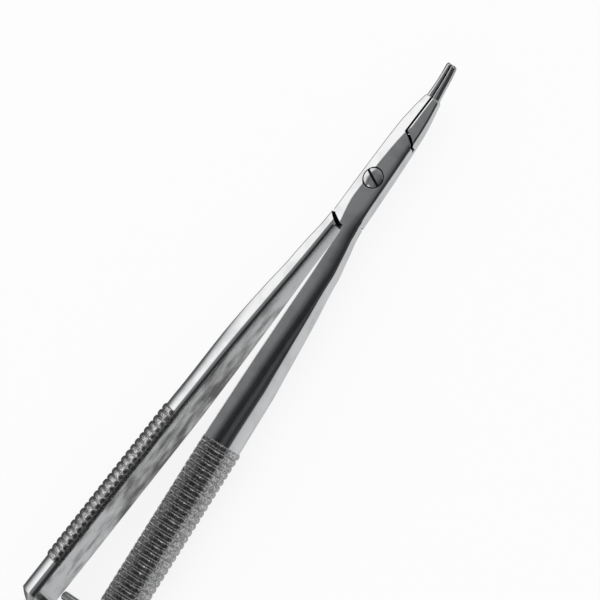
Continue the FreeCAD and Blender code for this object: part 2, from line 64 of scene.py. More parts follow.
MM = 0.001
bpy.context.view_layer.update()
PIVOT = Vector(next(joint["pos_m"] for joint in frame["joints"] if joint["name"] == "pivot"))
TO_FRAME = Matrix.Translation(PIVOT) @ Matrix.Scale(MM, 4)
HALF_ANGLE = math.radians(3.43)
SHARP_ANGLE = math.radians(38)
MERGE = 1e-4


class Side(Enum):
    """The two halves, by the side that their handle is on."""

    LEFT = 1
    RIGHT = -1


class Face(Enum):
    """The finishes of a forged half, by the material number of its faces; the one for the faces in the gaps is
    painted shade.
    """

    POLISHED = 0
    SATIN = 1
    GAP_SHADE = 2
    BEADED = 3


# Helpers

def smooth_step(share: float) -> float:
    """Eases a share from 0 to 1 with level ends."""
    share = min(max(share, 0.0), 1.0)
    return share * share * (3 - 2 * share)


def spaced(start: float, stop: float, count: int) -> list[float]:
    """Gives count numbers in even steps from start to stop, both included."""
    return [start + (stop - start) * index / (count - 1) for index in range(count)]


def sin_of(degrees: float) -> float:
    """Gives the sine of an angle in degrees."""
    return math.sin(math.radians(degrees))


def cos_of(degrees: float) -> float:
    """Gives the cosine of an angle in degrees."""
    return math.cos(math.radians(degrees))


@dataclass(frozen=True)
class Course:
    """A size that changes smoothly along the tool, given at a few stations in rising order."""

    knots: tuple[tuple[float, float], ...]

    def slope(self, index: int) -> float:
        """Gives the course's slope at one of its knots, level where it turns."""
        steps = [(b[1] - a[1]) / (b[0] - a[0]) for a, b in zip(self.knots, self.knots[1:])]
        if index == 0 or index == len(self.knots) - 1:
            return steps[0 if index == 0 else -1]
        before, after = steps[index - 1], steps[index]
        return 0.0 if before * after <= 0 else 2 * before * after / (before + after)

    def at(self, station: float) -> float:
        """Gives the size at a station.

        Args:
            station: distance from the screw, negative towards the tail.

        Returns:
            The size there, held level past the first and last knots.
        """
        if station <= self.knots[0][0]:
            return self.knots[0][1]
        for index, (first, last) in enumerate(zip(self.knots, self.knots[1:])):
            if station <= last[0]:
                run = last[0] - first[0]
                share = (station - first[0]) / run
                rise = last[1] - first[1]
                lead, trail = self.slope(index) * run, self.slope(index + 1) * run
                bend = (lead + trail - 2 * rise) * share ** 3 + (3 * rise - 2 * lead - trail) * share ** 2
                return first[1] + bend + lead * share
        return self.knots[-1][1]


def skin(rows: int, around: int, spot: Callable[[int, int], Vector]) -> BMesh:
    """Wraps a grid into a closed tube with capped ends.

    Args:
        rows: number of rings along the tube.
        around: number of points in each ring.
        spot: gives the place of a ring's point, from the ring's and the point's number.

    Returns:
        The closed mesh, with its normals outward.
    """
    mesh = bmesh.new()
    bmesh.ops.create_grid(mesh, x_segments=rows - 1, y_segments=around, size=1.0)
    for vert in mesh.verts:
        row = round((vert.co.x + 1) / 2 * (rows - 1))
        turn = round((vert.co.y + 1) / 2 * around)
        vert.co = spot(row, turn % around)
    bmesh.ops.remove_doubles(mesh, verts=mesh.verts, dist=MERGE)
    bmesh.ops.dissolve_degenerate(mesh, dist=MERGE, edges=mesh.edges)
    bmesh.ops.holes_fill(mesh, edges=[edge for edge in mesh.edges if edge.is_boundary], sides=0)
    bmesh.ops.recalc_face_normals(mesh, faces=mesh.faces)
    return mesh


def turned(profile: list[tuple[float, float]], steps: int = 96) -> BMesh:
    """Turns a profile about the Z axis.

    Args:
        profile: points (radius, height) from the lower end of the axis to the upper.
        steps: number of steps in the full turn.

    Returns:
        The closed mesh, with its normals outward.
    """
    mesh = bmesh.new()
    verts = [mesh.verts.new((radius, 0, height)) for radius, height in profile]
    edges = [mesh.edges.new(pair) for pair in zip(verts, verts[1:])]
    bmesh.ops.spin(mesh, geom=verts + edges, cent=(0, 0, 0), axis=(0, 0, 1), angle=2 * math.pi,
                   steps=steps, use_merge=True)
    bmesh.ops.remove_doubles(mesh, verts=mesh.verts, dist=MERGE)
    bmesh.ops.recalc_face_normals(mesh, faces=mesh.faces)
    return mesh
def cylinder(radius: float, low: float, high: float, steps: int = 96) -> BMesh:
    """Builds a cylinder about the Z axis, between two heights."""
    return turned([(0, low), (radius, low), (radius, high), (0, high)], steps)


def round_edge(radius: float, top: float, soft: float, angles: Iterable[int]) -> list[tuple[float, float]]:
    """Lists the points of a turned piece's rounded upper edge, at angles from the level."""
    return [(radius - soft * (1 - cos_of(angle)), top - soft + soft * sin_of(angle)) for angle in angles]
def prism(outline: list[tuple[float, float]], height: float, edge: float = 0.0) -> BMesh:
    """Extrudes an outline to both sides of its plane.

    Args:
        outline: corners (x, y) in order.
        height: full height along Z.
        edge: width of the round on every edge, or 0 for none.

    Returns:
        The closed mesh, with its normals outward.
    """
    mesh = bmesh.new()
    face = mesh.faces.new([mesh.verts.new((x, y, -height / 2)) for x, y in outline])
    raised = bmesh.ops.extrude_face_region(mesh, geom=[face])["geom"]
    bmesh.ops.translate(mesh, vec=(0, 0, height), verts=[v for v in raised if isinstance(v, BMVert)])
    bmesh.ops.recalc_face_normals(mesh, faces=mesh.faces)
    if edge:
        bmesh.ops.bevel(mesh, geom=mesh.edges[:], offset=edge, affect="EDGES", segments=3, profile=0.5,
                        material=-1, clamp_overlap=True)
    return mesh


def as_object(mesh: BMesh, name: str) -> Object:
    """Gives a mesh an object of its own, and frees it."""
    data = bpy.data.meshes.new(name)
    mesh.to_mesh(data)
    mesh.free()
    made = bpy.data.objects.new(name, data)
    bpy.context.scene.collection.objects.link(made)
    return made


def boolean(target: Object, tools: Iterable[BMesh], operation: str) -> None:
    """Cuts closed meshes out of an object, or joins them to it, and keeps the result as its mesh."""
    for tool_mesh in tools:
        tool = as_object(tool_mesh, "tool")
        modifier = target.modifiers.new("cut", "BOOLEAN")
        modifier.operation = operation
        modifier.solver = "EXACT"
        modifier.object = tool
        bpy.context.view_layer.update()
        evaluated = target.evaluated_get(bpy.context.evaluated_depsgraph_get())
        result = bpy.data.meshes.new_from_object(evaluated)
        target.modifiers.clear()
        target.data = result
        bpy.data.objects.remove(tool)


def finish_piece(piece: Object, name: str, place: Matrix, finishes: list[Material]) -> Object:
    """Puts a piece where the frame has it, shades it smoothly and gives it its finishes.

    Args:
        piece: object whose mesh is in millimetres.
        name: the piece's name.
        place: where the mesh lies, measured from the screw.
        finishes: its materials, by face material number.

    Returns:
        The piece.
    """
    piece.name = name
    piece.data.name = name
    piece.data.transform(TO_FRAME @ place)
    marks = [face.material_index for face in piece.data.polygons]
    piece.data.materials.clear()
    for finish in finishes:
        piece.data.materials.append(finish)
    piece.data.polygons.foreach_set("material_index", marks)
    piece.data.polygons.foreach_set("use_smooth", [True] * len(piece.data.polygons))
    piece.data.set_sharp_from_angle(angle=SHARP_ANGLE)
    piece.data.update()
    log.info("%s has %d faces", name, len(piece.data.polygons))
    return piece


# Nodes

def add_node(tree: NodeTree, kind: str, ports: dict[str | int, object], operation: str = "") -> Node:
    """Adds a shader node.

    Args:
        tree: the nodes that it joins.
        kind: its type, without ShaderNode in front. A mix is one of colours.
        ports: what its inputs get, each a socket to link or a value.
        operation: what a maths node does.

    Returns:
        The node.
    """
    made = tree.nodes.new("ShaderNode" + kind)
    if operation:
        made.operation = operation
    if kind == "Mix":
        made.data_type = "RGBA"
    for port, value in ports.items():
        if isinstance(value, NodeSocket):
            tree.links.new(value, made.inputs[port])
        else:
            made.inputs[port].default_value = value
    return made


def reckon(tree: NodeTree, operation: str, *values: NodeSocket | float) -> NodeSocket:
    """Adds a maths node and gives its result."""
    return add_node(tree, "Math", dict(enumerate(values)), operation).outputs[0]


def rescale(tree: NodeTree, value: NodeSocket, start: float, stop: float, low: float = 0.0,
            high: float = 1.0) -> NodeSocket:
    """Adds a map from the range start to stop to the range low to high."""
    ports = {"Value": value, "From Min": start, "From Max": stop, "To Min": low, "To Max": high}
    return add_node(tree, "MapRange", ports).outputs["Result"]


def blend(tree: NodeTree, share: NodeSocket, first: object, second: object) -> NodeSocket:
    """Adds a mix of two colours, the first at a share of 0 and the second at 1."""
    return add_node(tree, "Mix", {"Factor": share, "A": first, "B": second}).outputs["Result"]


def grey(level: float) -> tuple[float, float, float, float]:
    """Gives a neutral colour."""
    return level, level, level, 1


# Finishes

@dataclass(frozen=True)
class SteelFinish:
    """A steel surface with a grain that runs along the tool, and stains where it was handled.

    Where stain_half isn't 0, the stains gather round stain_middle and towards the lower edge.
    """

    name: str
    tint: tuple[float, float, float]
    stain_tint: tuple[float, float, float]
    stain_size: float
    stain_share: float
    smooth: float
    rough: float
    grain_size: float
    grain_stretch: float
    grain_depth: float
    stain_middle: float = 0.0
    stain_half: float = 0.0
    stain_fade: float = 0.22
    stain_stretch: float = 1.0
    stain_detail: float = 3.0
    end_clean: float = 0.22
    top_clean: float = 0.1
    top_height: float = 4.0
    grain_low: float = 0.3
    grain_high: float = 0.7

    def material(self) -> Material:
        """Builds the finish's nodes."""
        made = bpy.data.materials.new(self.name)
        made.use_nodes = True
        tree = made.node_tree
        place = tree.nodes.new("ShaderNodeTexCoord").outputs["Object"]
        stain = self.pattern(tree, place, self.stain_size, self.stain_stretch, self.stain_detail)
        if self.stain_half:
            stain = self.gathered(tree, place, stain)
        patch = add_node(tree, "ValToRGB", {"Fac": stain})
        stops = (self.stain_share, self.stain_tint), (self.stain_share + self.stain_fade, self.tint)
        for element, (position, tint) in zip(patch.color_ramp.elements, stops):
            element.position = position
            element.color = (*tint, 1)
        grain = self.pattern(tree, place, self.grain_size, self.grain_stretch)
        gloss = rescale(tree, grain, self.grain_low, self.grain_high, self.smooth, self.rough)
        bump = add_node(tree, "Bump", {"Strength": 1.0, "Distance": self.grain_depth * MM, "Height": grain})
        shader = tree.nodes["Principled BSDF"]
        shader.inputs["Metallic"].default_value = 1.0
        tree.links.new(patch.outputs["Color"], shader.inputs["Base Color"])
        tree.links.new(gloss, shader.inputs["Roughness"])
        tree.links.new(bump.outputs["Normal"], shader.inputs["Normal"])
        return made

    def gathered(self, tree: NodeTree, place: NodeSocket, stain: NodeSocket) -> NodeSocket:
        """Raises the stains' noise where the steel is clean: away from one station, and towards the top."""
        parts = add_node(tree, "SeparateXYZ", {"Vector": place}).outputs
        along = reckon(tree, "SUBTRACT", parts["X"], PIVOT.x + self.stain_middle * MM)
        along = reckon(tree, "MULTIPLY", along, 1 / (self.stain_half * MM))
        squared = reckon(tree, "MULTIPLY", along, along)
        level = reckon(tree, "MULTIPLY_ADD", squared, self.end_clean, stain)
        raised = reckon(tree, "SUBTRACT", parts["Z"], PIVOT.z)
        raised = reckon(tree, "MULTIPLY", raised, 1 / (self.top_height * MM))
        return reckon(tree, "MULTIPLY_ADD", raised, self.top_clean, level)

    def pattern(self, tree: NodeTree, place: NodeSocket, size: float, stretch: float,
                detail: float = 3.0) -> NodeSocket:
        """Adds a noise whose spots have a width in millimetres, and are stretched along the tool."""
        scale = (1 / (size * MM * stretch), 1 / (size * MM), 1 / (size * MM))
        mapping = add_node(tree, "Mapping", {"Vector": place, "Scale": scale})
        noise = add_node(tree, "TexNoise", {"Vector": mapping.outputs["Vector"], "Scale": 1.0, "Detail": detail})
        return noise.outputs["Fac"]


POLISHED = SteelFinish("polished_forging", tint=(0.93, 0.93, 0.935), stain_tint=(0.8, 0.8, 0.81), stain_size=3.0,
                       stain_share=0.3, smooth=0.045, rough=0.13, grain_size=0.12, grain_stretch=30.0,
                       grain_depth=0.0006)
SATIN = SteelFinish("satin_flat", tint=(0.82, 0.82, 0.82), stain_tint=(0.17, 0.165, 0.16), stain_size=1.7,
                    stain_share=0.36, smooth=0.28, rough=0.42, grain_size=0.09, grain_stretch=5.0,
                    grain_depth=0.003, stain_middle=-52.0, stain_half=28.0,
                    stain_fade=0.36, stain_stretch=2.2, stain_detail=9.0)
BEADED = SteelFinish("beaded_grip", tint=(0.82, 0.82, 0.825), stain_tint=(0.33, 0.32, 0.32), stain_size=0.32,
                     stain_share=0.41, smooth=0.1, rough=0.3, grain_size=0.28, grain_stretch=1.0,
                     grain_depth=0.03)
# Painted shade: a near black steel for the faces in the seams, laps, the jaws' split, the bores and the screw's
# slot, which lie in shade.
GAP_SHADE = SteelFinish("painted_gap_shade", tint=(0.07, 0.07, 0.072), stain_tint=(0.02, 0.02, 0.02), stain_size=0.8,
                     stain_share=0.35, smooth=0.4, rough=0.6, grain_size=0.06, grain_stretch=1.0,
                     grain_depth=0.004)
TURNED = SteelFinish("turned_steel", tint=(0.8, 0.8, 0.805), stain_tint=(0.6, 0.6, 0.6), stain_size=0.9,
                     stain_share=0.3, smooth=0.05, rough=0.15, grain_size=0.1, grain_stretch=1.0,
                     grain_depth=0.0006)
SPRING = SteelFinish("spring_steel", tint=(0.88, 0.88, 0.89), stain_tint=(0.72, 0.72, 0.73), stain_size=2.5,
                     stain_share=0.32, smooth=0.12, rough=0.26, grain_size=0.1, grain_stretch=40.0,
                     grain_depth=0.0015)


# Forged halves

@dataclass
class Section:
    """One cross-section of a half. Across is measured from the middle line towards its own handle."""

    station: float
    turn: float
    reach: float
    height: float
    corner: float
    bow: float
    left: float
    right: float
    low_left: float
    low_right: float
    rise: float = 0.0
    bead: float = 0.0
    left_edge: float = 0.0
    right_edge: float = 0.0
    crown: float = 0.0
    power: float = 2.0
    ridge: float = 0.0
    facet: float = 0.0
    soft: float = 0.3
    low_crown: float = 0.0
    low_bevel: float = 0.0
    low_facet: float = 0.0
    low_start: float = 0.0
    low_ridge: float = 0.5
    low_soft: float = 0.4
    roll: float = 0.0
    bead_start: float = -8.0
    bead_fade: float = 8.0
    low_slope: float = 0.32

    def dip(self, across: float) -> float:
        """Gives how far the upper skin dips: along a facet left of its ridge, and in a crown right of it."""
        past = across - self.ridge
        if past > 0:
            return self.crown * (past / (self.reach - self.ridge)) ** self.power
        if -past > self.soft:
            return self.facet * (-past - self.soft / 2)
        return self.facet * past ** 2 / (2 * self.soft)

    def low_dip(self, across: float) -> float:
        """Gives how far the lower skin dips: in a crown, with a bevel along its inner edge."""
        bevel = max(across - self.low_right + self.low_bevel, 0.0) if self.low_bevel else 0.0
        crown = self.low_crown * (across / self.reach) ** 2 + self.low_slope * bevel
        past = max(across - self.low_start - self.low_ridge, 0.0)
        if past < self.low_soft:
            return crown + self.low_facet * past ** 2 / (2 * self.low_soft)
        return crown + self.low_facet * (past - self.low_soft / 2)

    def top(self, across: float, upper: bool) -> float:
        """Gives the height of the outer skin above the middle plane, from a crowned bar to a round back."""
        inside = self.reach - abs(across)
        drop = max(self.corner - max(inside, 0.0), 0.0)
        bar = self.height - self.corner + math.sqrt(max(self.corner ** 2 - drop ** 2, 0.0))
        bar -= self.dip(across) if upper else self.low_dip(across)
        if self.bow == 0:
            return bar
        centre = (self.reach ** 2 - self.height ** 2) / (2 * self.reach)
        radius = self.reach - centre
        arc = math.sqrt(max(radius ** 2 - (across - centre) ** 2, 0.0))
        return (1 - self.bow) * bar + self.bow * arc

    def skin_point(self, across: float, low: float, high: float, upper: bool) -> tuple[float, float]:
        """Gives a point of the upper skin, with the cut edges rounded and the bead's swell added.

        Args:
            across: distance from the middle line.
            low: where the skin is cut on the side away from the handle.
            high: where it is cut on the handle's side.
            upper: whether it is the upper skin, with the ridge.

        Returns:
            The point, across and up.
        """
        up = self.top(across, upper)
        for away, edge in ((across - low, self.left_edge), (high - across, self.right_edge)):
            if away < edge:
                up -= edge - math.sqrt(max(edge ** 2 - (edge - away) ** 2, 0.0))
        rolled = max(self.low_ridge - (across - low), 0.0)
        up -= self.roll * rolled ** 2 / (2 * self.low_ridge)
        if self.bead:
            risen = smooth_step((math.degrees(math.atan2(across, up)) - self.bead_start) / self.bead_fade)
            lift = 1 + self.bead * risen / self.reach
            return across * lift, up * lift
        return across, up


@dataclass(frozen=True)
class ForgedHalf:
    """A handle with its beaded grip, its plate of the lap joint and its jaw, forged in one piece.

    The half is built as the right one, with the upper plate, and turned over to make the left one.
    """

    side: Side
    joint_width: Course = Course(((-9.7, 3.0), (-7.9, 2.83), (-5.6, 2.68), (0.0, 2.57), (9.4, 2.34), (12.4, 2.05),
                                  (15.4, 1.55)))
    joint_height: Course = Course(((-9.7, 1.75), (0.0, 1.65), (9.4, 1.5), (12.4, 1.275), (15.4, 1.0)))
    handle_height: Course = Course(((-47.0, 4.2), (-35.0, 3.57), (-24.5, 2.78), (-17.5, 2.16), (-9.7, 1.75)))
    right_depth: Course = Course(((-47.0, 4.75), (-38.0, 4.58), (-35.0, 4.35), (-24.5, 3.69), (-17.5, 3.28),
                                  (-12.5, 3.3), (-9.7, 3.0)))
    left_depth: Course = Course(((-47.0, 4.2), (-35.0, 3.85), (-24.5, 3.26), (-17.5, 2.85), (-12.5, 3.11),
                                 (-9.7, 3.0)))
    joint_corner: float = 0.37
    handle_crown: float = 0.8
    joint_crown: float = 0.45
    jaw_crown: float = 0.17
    jaw_bevel: float = 0.26
    facet: float = 0.29
    ridge: Course = Course(((-9.7, -0.95), (0.0, -0.6), (6.5, -0.12), (9.6, 0.3)))
    lap_gap: float = 0.01
    seam_gap: float = 0.46
    seam_flare: float = 0.36
    jaw_face: float = -0.15
    jaw_reach: float = 0.25
    tip_face: float = -0.09
    rear_seam_inner: float = -9.7
    rear_seam_outer: float = -7.9
    front_seam_inner: float = 9.4
    front_seam_outer: float = 7.5
    rear_bend: float = 1.2
    front_bend: float = 1.9
    blend_start: float = -17.5
    grip_front: float = -47.0
    grip_rear: float = -85.7
    grip_radius: float = 4.2
    left_grip_depth: float = 4.2
    right_grip_depth: float = 4.75
    bead_first: float = -49.1
    bead_pitch: float = 1.185
    bead_count: int = 26
    bead_half_width: float = 0.545
    bead_height: float = 0.29
    shoulder_end: float = -87.1
    shoulder_height: float = 3.3
    shoulder_depth: float = 2.0
    tongue_end: float = -89.0
    tongue_half_width: float = 3.0
    tongue_root: float = 1.6
    tongue_tip: float = 1.0
    tongue_corner: float = 0.3
    flat_edge: float = 0.16
    left_facet: float = 0.36
    left_ridge: Course = Course(((-84.0, 1.3), (-47.0, 0.88), (-20.0, 0.72)))
    left_roll: float = 0.88
    left_bead_start: float = 9.0
    jaw_end: float = 15.4
    step_length: float = 0.5
    step_drop: float = 0.42
    step_dip: float = 0.2
    tip_width: Course = Course(((15.4, 1.32), (17.5, 1.15), (19.6, 1.05), (21.7, 0.95)))
    tip_height: Course = Course(((15.4, 0.78), (19.6, 0.7), (21.7, 0.62)))
    tip_rise: Course = Course(((15.4, 0.0), (19.6, 0.72), (21.7, 1.35)))
    tip_corner: float = 0.6
    tip_end: float = 21.9
    tip_nose: float = 0.6
    nose_drop: float = 0.42
    tip_edge: float = 0.12
    tip_crown: float = 0.22
    tip_ridge: float = -0.32
    tip_slope: float = 1.4
    tip_bevel: float = 0.16
    head_room: float = 1.82
    head_seat: float = 0.8
    seat_rim: tuple[tuple[float, float], ...] = ((0.0, -0.07), (0.02, -0.03), (0.09, 0.02))
    bore: float = 1.03
    catch_station: float = -87.46
    slot_half: float = 0.4
    slot_low: float = -1.15
    slot_high: float = 1.0
    slot_height: float = 3.3
    round_corner: float = 0.1
    shoulder_ease: float = 0.35
    tongue_edge: float = 0.06
    plate_edge: float = 0.09
    edge_fade: float = 0.5
    jaw_edge: float = 0.06
    bevel_run: float = 0.6
    crown_run: float = 6.0
    bead_margin: float = 0.7
    bead_room: float = 0.6
    rear_seam_end: float = -7.4
    front_seam_start: float = 7.1
    jaw_start: float = 9.5
    skin_points: int = 42
    edge_points: int = 4
    wall_points: int = 3
    floor_points: int = 3

    def turn_at(self, station: float) -> float:
        """Gives the section's angle: along the handle behind the joint, along the tool in the joint."""
        run = self.rear_seam_inner - self.blend_start
        return HALF_ANGLE * smooth_step((self.rear_seam_inner - station) / run)

    def flat_at(self, station: float) -> float:
        """Gives where the handle's flat inner face crosses a section."""
        return -station * math.tan(HALF_ANGLE - self.turn_at(station))

    def plate_rear(self) -> float:
        """Gives the station of the plate's rear edge, at the seam's open inner end."""
        return self.rear_seam_inner + self.seam_gap + self.seam_flare

    def seam_share(self, share: float, bend: float) -> float:
        """Gives how far across a seam runs, from 0 at its inner end to 1 at its outer one."""
        return 1 - (1 - min(max(share, 0.0), 1.0)) ** bend

    @property
    def grip_depth(self) -> float:
        """Gives how deep the grip is, from its flat to its back."""
        return self.left_grip_depth if self.side is Side.LEFT else self.right_grip_depth

    def half_round(self, station: float, deep: float, high: float, bead: float = 0.0) -> Section:
        """Gives a half round section, of the grip or of its shoulder."""
        return self.rolled(Section(station, HALF_ANGLE, deep, high, self.round_corner, 1.0, 0.0, deep, 0.0, deep,
                                   bead=bead, left_edge=self.flat_edge))

    def grip_section(self, station: float, bead: float = 0.0) -> Section:
        """Gives a section of the grip, with a bead's swell."""
        return self.half_round(station, self.grip_depth, self.grip_radius, bead)

    def tongue_section(self, station: float) -> Section:
        """Gives the flat section of the tongue, which thins towards its end."""
        share = (self.shoulder_end - station) / (self.shoulder_end - self.tongue_end)
        thick = self.tongue_root + (self.tongue_tip - self.tongue_root) * share
        return Section(station, HALF_ANGLE, thick, self.tongue_half_width, self.tongue_corner, 0.0, 0.0, thick,
                       0.0, thick, left_edge=self.tongue_edge)

    def shoulder_section(self, share: float) -> Section:
        """Gives a section of the rear shoulder, from the grip to the tongue's root."""
        station = self.grip_rear + (self.shoulder_end - self.grip_rear) * share
        straight = 1 - self.shoulder_ease
        ease = 1 - math.sqrt(1 - share ** 2) * self.shoulder_ease - (1 - share) * straight
        high = self.grip_radius + (self.shoulder_height - self.grip_radius) * ease
        deep = self.grip_depth + (self.shoulder_depth - self.grip_depth) * ease
        return self.half_round(station, deep, high)

    def taper_section(self, station: float) -> Section:
        """Gives a section of the handle's taper, which turns from a round back into the joint's bar."""
        flat = self.flat_at(station)
        bow = smooth_step((self.rear_seam_inner - station) / (self.rear_seam_inner - self.grip_front))
        deep = self.right_depth.at(station)
        if self.side is Side.LEFT:
            bow, deep = bow ** 3, self.left_depth.at(station)
        return self.rolled(Section(station, self.turn_at(station), deep, self.handle_height.at(station),
                                   self.joint_corner, bow, flat, deep, flat, deep, left_edge=self.flat_edge,
                                   crown=self.handle_crown, low_crown=self.handle_crown))

    def joint_section(self, station: float, behind_plate: bool = False) -> Section:
        """Gives a section of the lap joint.

        Args:
            station: distance from the screw.
            behind_plate: whether this is the last ring before the plate's rear edge.

        Returns:
            The section: the plate above, and below it what is left of the handle or of the jaw.
        """
        wide = self.joint_width.at(station)
        left, right = -wide, wide
        plate_rear = self.plate_rear()
        rear_run = self.rear_seam_outer - self.rear_seam_inner
        plate_run = rear_run - self.seam_flare
        if station < plate_rear or behind_plate:
            left = self.flat_at(station)
        elif station < plate_rear + plate_run:
            left = -wide * self.seam_share((station - plate_rear) / plate_run, self.rear_bend)
        wall = wide * self.seam_share((station - self.rear_seam_inner) / rear_run, self.rear_bend)
        low_left, low_right = max(self.flat_at(station), wall), wide
        front_run = self.front_seam_inner - self.front_seam_outer
        plate_front = self.front_seam_inner - self.seam_gap
        plate_run = front_run + self.seam_flare
        if station > plate_front - plate_run:
            right = max(wide * self.seam_share((plate_front - station) / plate_run, self.front_bend), self.jaw_face)
            if station >= plate_front:
                right = self.jaw_face
        if station > 0:
            low_left = -wide
            share = self.seam_share((self.front_seam_inner - station) / front_run, self.front_bend)
            low_right = min(-wide * share, self.jaw_face)
        left_edge = self.plate_edge * smooth_step((left + wide) / self.edge_fade)
        right_edge = self.plate_edge * smooth_step((wide - right) / self.edge_fade)
        return self.crowned(Section(station, 0.0, wide, self.joint_height.at(station), self.joint_corner, 0.0, left,
                                    right, low_left, low_right, left_edge=left_edge, right_edge=right_edge))

    def rolled(self, section: Section) -> Section:
        """Gives a section of the left handle the facet and the softly rolled edge that its upper side has."""
        if self.side is Side.LEFT:
            section.low_crown = 0.0
            section.low_start = self.flat_at(section.station)
            section.low_facet = self.left_facet
            section.low_ridge = self.left_ridge.at(section.station)
            section.roll = self.left_roll
            section.bead_start = self.left_bead_start
        return section

    def crowned(self, section: Section) -> Section:
        """Gives a section of the joint or jaw its ridge, facet and crowns."""
        ahead = smooth_step((section.station - self.rear_seam_inner) / self.crown_run)
        section.crown = self.handle_crown + (self.joint_crown - self.handle_crown) * ahead
        section.power = 2 + ahead
        section.ridge = self.ridge.at(section.station) * ahead
        section.facet = self.facet
        section.low_crown = self.handle_crown if section.station < 0 else self.jaw_crown
        if section.station < 0:
            self.rolled(section)
            section.roll = 0.0
        past_seam = section.station - self.front_seam_inner
        section.low_bevel = self.jaw_bevel * smooth_step(past_seam / self.bevel_run)
        return section

    def jaw_section(self, station: float) -> Section:
        """Gives a section of the jaw, and of the small rounded step at its end."""
        ease = 1 - math.sqrt(max(1 - (max(station - self.jaw_end, 0.0) / self.step_length) ** 2, 0.0))
        wide = self.joint_width.at(station) - self.step_drop * ease
        high = self.joint_height.at(station) - self.step_dip * ease
        return self.crowned(Section(station, 0.0, wide, high, self.joint_corner, 0.0, -wide, self.jaw_face, -wide,
                                    self.jaw_face, right_edge=self.jaw_edge))

    def tip_section(self, station: float) -> Section:
        """Gives a section of the narrow upturned tip, with its rounded nose."""
        ease = max(station - (self.tip_end - self.tip_nose), 0.0) / self.tip_nose
        drop = self.nose_drop * (1 - math.sqrt(max(1 - ease ** 2, 0.0)))
        wide, high = self.tip_width.at(station) - drop, self.tip_height.at(station) - drop
        rise = self.tip_rise.at(station) * (1 if self.side is Side.RIGHT else -1)
        corner = min(self.tip_corner, wide + self.tip_face - 0.02)
        return Section(station, 0.0, wide, high, corner, 0.0, -wide, self.tip_face, -wide, self.tip_face,
                       rise=rise, right_edge=self.tip_edge, crown=self.tip_slope, ridge=self.tip_ridge * wide,
                       facet=self.facet, low_crown=self.tip_crown, low_bevel=self.tip_bevel)

    def lay_out(self) -> list[Section]:
        """Lists the sections from the tongue's end to the jaw's tip."""
        plate_rear, nose = self.plate_rear(), self.tip_end - self.tip_nose
        turns = [sin_of(angle) for angle in range(12, 91, 13)]
        rows = [self.tongue_section(station) for station in spaced(self.tongue_end, self.shoulder_end, 8)]
        rows += [self.shoulder_section(share) for share in spaced(1.0, 0.0, 14)]
        rows += self.swept(self.grip_section, self.grip_rear, self.last_bead() - self.bead_margin, 12)
        rows += self.bead_sections() + [self.grip_section(self.grip_front)]
        rows += self.swept(self.taper_section, self.grip_front, self.rear_seam_inner, 80)
        rows += [self.joint_section(station) for station in spaced(self.rear_seam_inner, plate_rear, 8)[:-1]]
        rows += [self.joint_section(plate_rear, behind_plate=True), self.joint_section(plate_rear)]
        rows += self.swept(self.joint_section, plate_rear, self.rear_seam_end, 24)
        rows += self.swept(self.joint_section, self.rear_seam_end, self.front_seam_start, 44)
        rows += self.swept(self.joint_section, self.front_seam_start, self.jaw_start, 64)
        rows += self.swept(self.jaw_section, self.jaw_start, self.jaw_end, 26)
        rows += [self.jaw_section(self.jaw_end + self.step_length * sine) for sine in turns]
        rows += [self.tip_section(station) for station in spaced(self.jaw_end + self.step_length, nose, 26)]
        rows += [self.tip_section(self.tip_end - self.tip_nose * (1 - sine)) for sine in turns]
        return rows

    def swept(self, kind: Callable[[float], Section], start: float, stop: float, count: int) -> list[Section]:
        """Lists sections of one kind in even steps, without the first, where the sections before it end."""
        return [kind(station) for station in spaced(start, stop, count)[1:]]

    def last_bead(self) -> float:
        """Gives the station of the rearmost bead."""
        return self.bead_first - self.bead_pitch * (self.bead_count - 1)

    def bead_sections(self) -> list[Section]:
        """Lists the sections of the beaded stretch, from the rearmost bead to the first."""
        middles = [self.last_bead() + self.bead_pitch * number for number in range(self.bead_count)]
        return [self.grip_section(middle + self.bead_half_width * sin_of(angle),
                                  self.bead_height * cos_of(angle) ** 0.9)
                for middle in middles for angle in range(-90, 91, 15)]

    def ring(self, section: Section) -> list[tuple[float, float]]:
        """Lists a section's points, across and up, over the top and back below: as many for every section."""
        upper = self.half_ring(section, section.left, section.right, self.lap_gap, True)
        below = self.half_ring(section, section.low_left, section.low_right, -self.lap_gap, False)
        lower = [(across, -up) for across, up in reversed(below)]
        floor = self.lap_gap
        if section.low_right - section.low_left < MERGE:
            lower = [(section.low_right, floor)] * len(lower)
        first = [(across, floor) for across in spaced(section.right, section.low_right, self.floor_points)]
        last = [(across, floor) for across in spaced(section.low_left, section.left, self.floor_points)]
        return [(across, up + section.rise) for across, up in upper + first + lower + last]

    def half_ring(self, section: Section, low: float, high: float, foot: float, upper: bool,
                  ) -> list[tuple[float, float]]:
        """Lists the points of one layer's skin between two cuts, with the walls below their edges."""
        spread = [(1 - math.cos(math.pi * index / (self.skin_points - 1))) / 2 for index in range(self.skin_points)]
        inner, outer = low + section.left_edge, high - section.right_edge
        if outer < inner:
            inner = outer = (low + high) / 2
        turns = [math.radians(90 * index / self.edge_points) for index in range(self.edge_points)]
        across = [low + (inner - low) * (1 - math.cos(turn)) for turn in turns]
        across += [inner + (outer - inner) * share for share in spread]
        across += [high - (high - outer) * (1 - math.cos(turn)) for turn in reversed(turns)]
        skin_line = [section.skin_point(item, low, high, upper) for item in across]
        rising = spaced(0, 1, self.wall_points + 1)[:-1]
        start, end = skin_line[0], skin_line[-1]
        left_wall = [(start[0], foot + (start[1] - foot) * share) for share in rising]
        right_wall = [(end[0], foot + (end[1] - foot) * share) for share in reversed(rising)]
        return left_wall + skin_line + right_wall

    def build(self) -> Object:
        """Builds the half's mesh in millimetres, with its bores."""
        sections = self.lay_out()
        rings = [self.ring(section) for section in sections]

